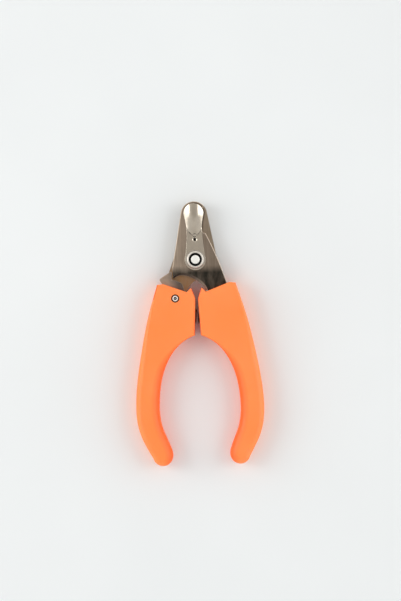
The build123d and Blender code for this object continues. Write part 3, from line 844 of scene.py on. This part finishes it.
def pivot_bolt(material):
    """Bolt with a slotted pan head below and a slightly domed, centre-marked end above."""
    low, high = (corner.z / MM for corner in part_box("pivot_bolt"))
    head_top = (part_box("bolt_washer")[0].z - SEAT) / MM
    head = half_size("pivot_bolt")
    profile = [(0, low + 0.02)] + arc((head - 0.95, low + 0.95), 0.95, -90, 0, 8)
    profile += [(head, head_top - 0.1), (head - 0.1, head_top)]
    profile += [(SHANK_RADIUS, head_top), (SHANK_RADIUS, high - 0.62)]
    profile += arc((1.9, high - 0.62), 0.6, 0, 62, 8) + [(1.5, high - 0.03), (0.9, high), (0.42, high - 0.02),
                                                         (0.3, high - 0.10), (0, high - 0.16)]
    piece = lathe("pivot_bolt_turned", profile, PIVOT, material)
    half_width, half_length, depth = 0.5, 8, 0.8
    corners = ((-1, -1), (1, -1), (1, 1), (-1, 1))
    slot = [(PIVOT.x + x * half_width * MM, PIVOT.y + y * half_length * MM) for x, y in corners]
    cut(piece, *prism(slot, (low - 1) * MM, (low + depth) * MM))
    crisp(piece, 35)
    return piece


def lock_rivet(material, hollow_shade):
    """Semi-tubular rivet: low head below, and a hollow end with painted shade inside, rolled over the washer
    above.
    """
    low, high = (corner.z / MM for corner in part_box("lock_rivet"))
    washer_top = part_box("lock_rivet_washer")[1].z / MM
    head = half_size("lock_rivet")
    head_top = low + 1.0
    profile = [(0, low), (head - 0.9, low)] + arc((head - 0.55, low + 0.55), 0.55, -75, 0, 6)
    profile += [(head, head_top), (1.5, head_top), (1.5, washer_top + 0.03), (1.55, washer_top + 0.03)]
    profile += arc((1.32, washer_top + 0.36), 0.30, -40, 90, 8) + arc((1.26, high - 0.36), 0.36, 90, 170, 8)
    profile += [(0.88, high - 1.2), (0.8, high - 1.6), (0.42, high - 1.6)]
    profile += [(0.34, high - 0.9), (0, high - 0.8)]
    piece = lathe("lock_rivet_tubular", profile, LOCK, material, 72)
    piece.data.materials.append(hollow_shade)
    hollow = (0.36, 0.96)  # from the mandrel's mark to the rolled edge
    # Faces inside the hollow take the dark colour of painted shade.
    for face in piece.data.polygons:
        off = math.hypot(face.center.x - LOCK.x, face.center.y - LOCK.y)
        if hollow[0] * MM < off < hollow[1] * MM and face.center.z < (high - 0.3) * MM:
            face.material_index = 1
    return piece


# ------------------------------------------------------------------ pieces
orange = orange_plastic()
# Dark round spot of painted shade on the rear blade, under the guard's detent hole.
under_hole = (PIVOT.x, PIVOT.y + DETENT_Y * MM, 1.4 * MM)
steel_front = brushed_steel("blade_steel", rgb(220, 200, 179), rgb(182, 163, 144), rgb(62, 59, 52), 0.42)
steel_rear = brushed_steel("rear_blade_steel", rgb(222, 202, 178), rgb(184, 165, 144),
                           rgb(186, 144, 104), 0.25, [under_hole])
# Painted shade in the stamped ring and in the detent dimple round its hole.
guard_marks = [
    (PIVOT.x, PIVOT.y + RING_Y * MM, 0.66 * MM, 1.10 * MM),
    (PIVOT.x, PIVOT.y + DETENT_Y * MM, 0.0, 1.0 * MM),
]
# Painted shade along the crease where the bulge rises from the neck.
guard_crease = [(side * MM, PIVOT.y + y * MM) for y, side in CROWN_SIDE[:2]]
guard_steel = polished_steel("guard_steel", rgb(232, 220, 201), marks=guard_marks, crease=guard_crease)
washer_steel = polished_steel("washer_steel", rgb(190, 184, 176), 0.22, 0.36, (1500, 1500, 900))
wire_steel = drawn_wire()
# Near-black reddish colour of painted shade, for the washer in the rivet's counterbore and inside the rivet's
# hollow.
shade_dark = painted_shade_dark()
nut_zinc = frosted_zinc("nut_zinc", rgb(240, 234, 224), rgb(218, 210, 198), 0.85)
bolt_zinc = frosted_zinc("bolt_zinc", rgb(255, 255, 250), rgb(246, 242, 232), 0.3)

cad_materials = {
    "front_blade": steel_front,
    "rear_blade": steel_rear,
    "nut_washer": washer_steel,
    "guard_washer": washer_steel,
    "bolt_washer": washer_steel,
    "lock_lever": tumbled_steel(),
    "lock_rivet_washer": shade_dark,
}
for node_name, node_material in cad_materials.items():
    nodes[node_name].data.materials.clear()
    nodes[node_name].data.materials.append(node_material)


def stand_for(piece, node, body):
    """A finished mesh rides a body and takes the place of its CAD node."""
    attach(piece, body)
    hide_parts(node)


right = handle("right_handle_moulding", 1, orange)
crisp(right)
stand_for(right, "right_handle", "right_half")
left = handle("left_handle_moulding", -1, orange)
left_handle_cuts(left)
crisp(left)
stand_for(left, "left_handle", "left_half")
stand_for(safety_guard(guard_steel, sheared_edge_shade()), "safety_guard", "guard")
stand_for(pivot_nut(nut_zinc), "pivot_nut", "left_half")
stand_for(pivot_insert(black_nylon()), "pivot_nut_insert", "left_half")
stand_for(pivot_bolt(bolt_zinc), "pivot_bolt", "left_half")
stand_for(lock_rivet(bolt_zinc, shade_dark), "lock_rivet", "left_half")

spring = main_spring(wire_steel)
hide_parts("main_spring")
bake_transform(spring)


# ------------------------------------------------------------------ floor, light and camera
def sheet(name, corners, material):
    """A single flat face."""
    mesh = bpy.data.meshes.new(name)
    bm = bmesh.new()
    bm.faces.new([bm.verts.new(c) for c in corners])
    bm.to_mesh(mesh)
    bm.free()
    piece = bpy.data.objects.new(name, mesh)
    bpy.context.scene.collection.objects.link(piece)
    mesh.materials.append(material)
    return piece


FLOOR_HALF = 3.0
FLOOR_GAP = 0.2 * MM
floor_z = cad_low.z - FLOOR_GAP
floor_corners = [(x * FLOOR_HALF, y * FLOOR_HALF, floor_z) for x, y in ((-1, -1), (1, -1), (1, 1), (-1, 1))]
sheet("floor", floor_corners, pale_floor())


def softbox(name, place, size, power):
    """Rectangular white area light aimed at the middle of the tool."""
    light = bpy.data.lights.new(name, "AREA")
    light.shape = "RECTANGLE"
    light.size, light.size_y = size
    light.energy = power
    piece = bpy.data.objects.new(name, light)
    bpy.context.scene.collection.objects.link(piece)
    piece.location = place
    piece.rotation_mode = "QUATERNION"
    piece.rotation_quaternion = (-Vector(place)).to_track_quat("-Z", "Y")


softbox("key_left", (-0.95, 0.25, 0.62), (0.5, 0.9), 2.9)
softbox("fill_right", (0.95, 0.10, 0.60), (0.5, 1.0), 1.5)

# Brightness of the tent by the sine of the angle from straight up.
TENT = [(0.0, 0.43), (0.30, 0.44), (0.50, 0.56), (0.84, 0.62), (0.95, 1.25)]
TENT_TINTS = ((1.0, 0.965, 0.925, 1), (1, 1, 1, 1))  # overhead, and out at the walls
PANEL = 1.6  # brightness of the side panels
PANEL_RIGHT = 0.55  # where the side panels start, by the same sine to the right or left
PANEL_LEFT = 0.63
PANEL_EDGE = 0.05
RIGHT_FOOT = (-0.22, -0.13)  # where each panel fades out towards the handles' ends
LEFT_FOOT = (-0.34, -0.22)


def light_tent():
    """World as a tent: a grey ceiling round the lens, bright side panels, and pale walls."""
    world = bpy.data.worlds.new("light_tent")
    world.use_nodes = True
    bpy.context.scene.world = world
    w = Nodes(world.node_tree, "Generated")
    x, y = w.axis("X"), w.axis("Y")
    right_side = w.spread(x, 0, 1, PANEL_RIGHT, PANEL_RIGHT + PANEL_EDGE)
    left_side = w.spread(x, 1, 0, -PANEL_LEFT - PANEL_EDGE, -PANEL_LEFT)
    panels = w.plus(w.times(right_side, w.spread(y, 0, 1, *RIGHT_FOOT)),
                    w.times(left_side, w.spread(y, 0, 1, *LEFT_FOOT)))
    outwards = w.length(x, y)
    level = TENT[0][1]
    for (start, low), (finish, high) in zip(TENT, TENT[1:]):
        level = w.plus(level, w.spread(outwards, 0, high - low, start, finish))
    level = w.maths("MAXIMUM", level, w.times(panels, PANEL))
    background = world.node_tree.nodes["Background"]
    overhead, wall = TENT_TINTS
    w.put(background.inputs["Color"], w.mix(w.spread(outwards, 1, 0, 0.2, 0.6), wall, overhead))
    w.put(background.inputs["Strength"], level)


light_tent()

CAMERA_DISTANCE = 1.4  # from the pivot's level, straight up
FIELD_HEIGHT = 0.347  # of the picture, at that level
VIEW_OFFSET = (2.18 * MM, -23.66 * MM)  # the picture's middle from the pivot
VIEW_ROLL = math.radians(1.9)
camera_data = bpy.data.cameras.new("camera")
camera_data.sensor_width = 36.0
camera_data.lens = camera_data.sensor_width * CAMERA_DISTANCE / FIELD_HEIGHT
camera_data.clip_end = 20.0
camera = bpy.data.objects.new("camera", camera_data)
bpy.context.scene.collection.objects.link(camera)
camera.location = (PIVOT.x + VIEW_OFFSET[0], PIVOT.y + VIEW_OFFSET[1], PIVOT.z + CAMERA_DISTANCE)
camera.rotation_euler = (0, 0, -VIEW_ROLL)
bpy.context.scene.camera = camera
bpy.context.scene.view_settings.view_transform = "Standard"
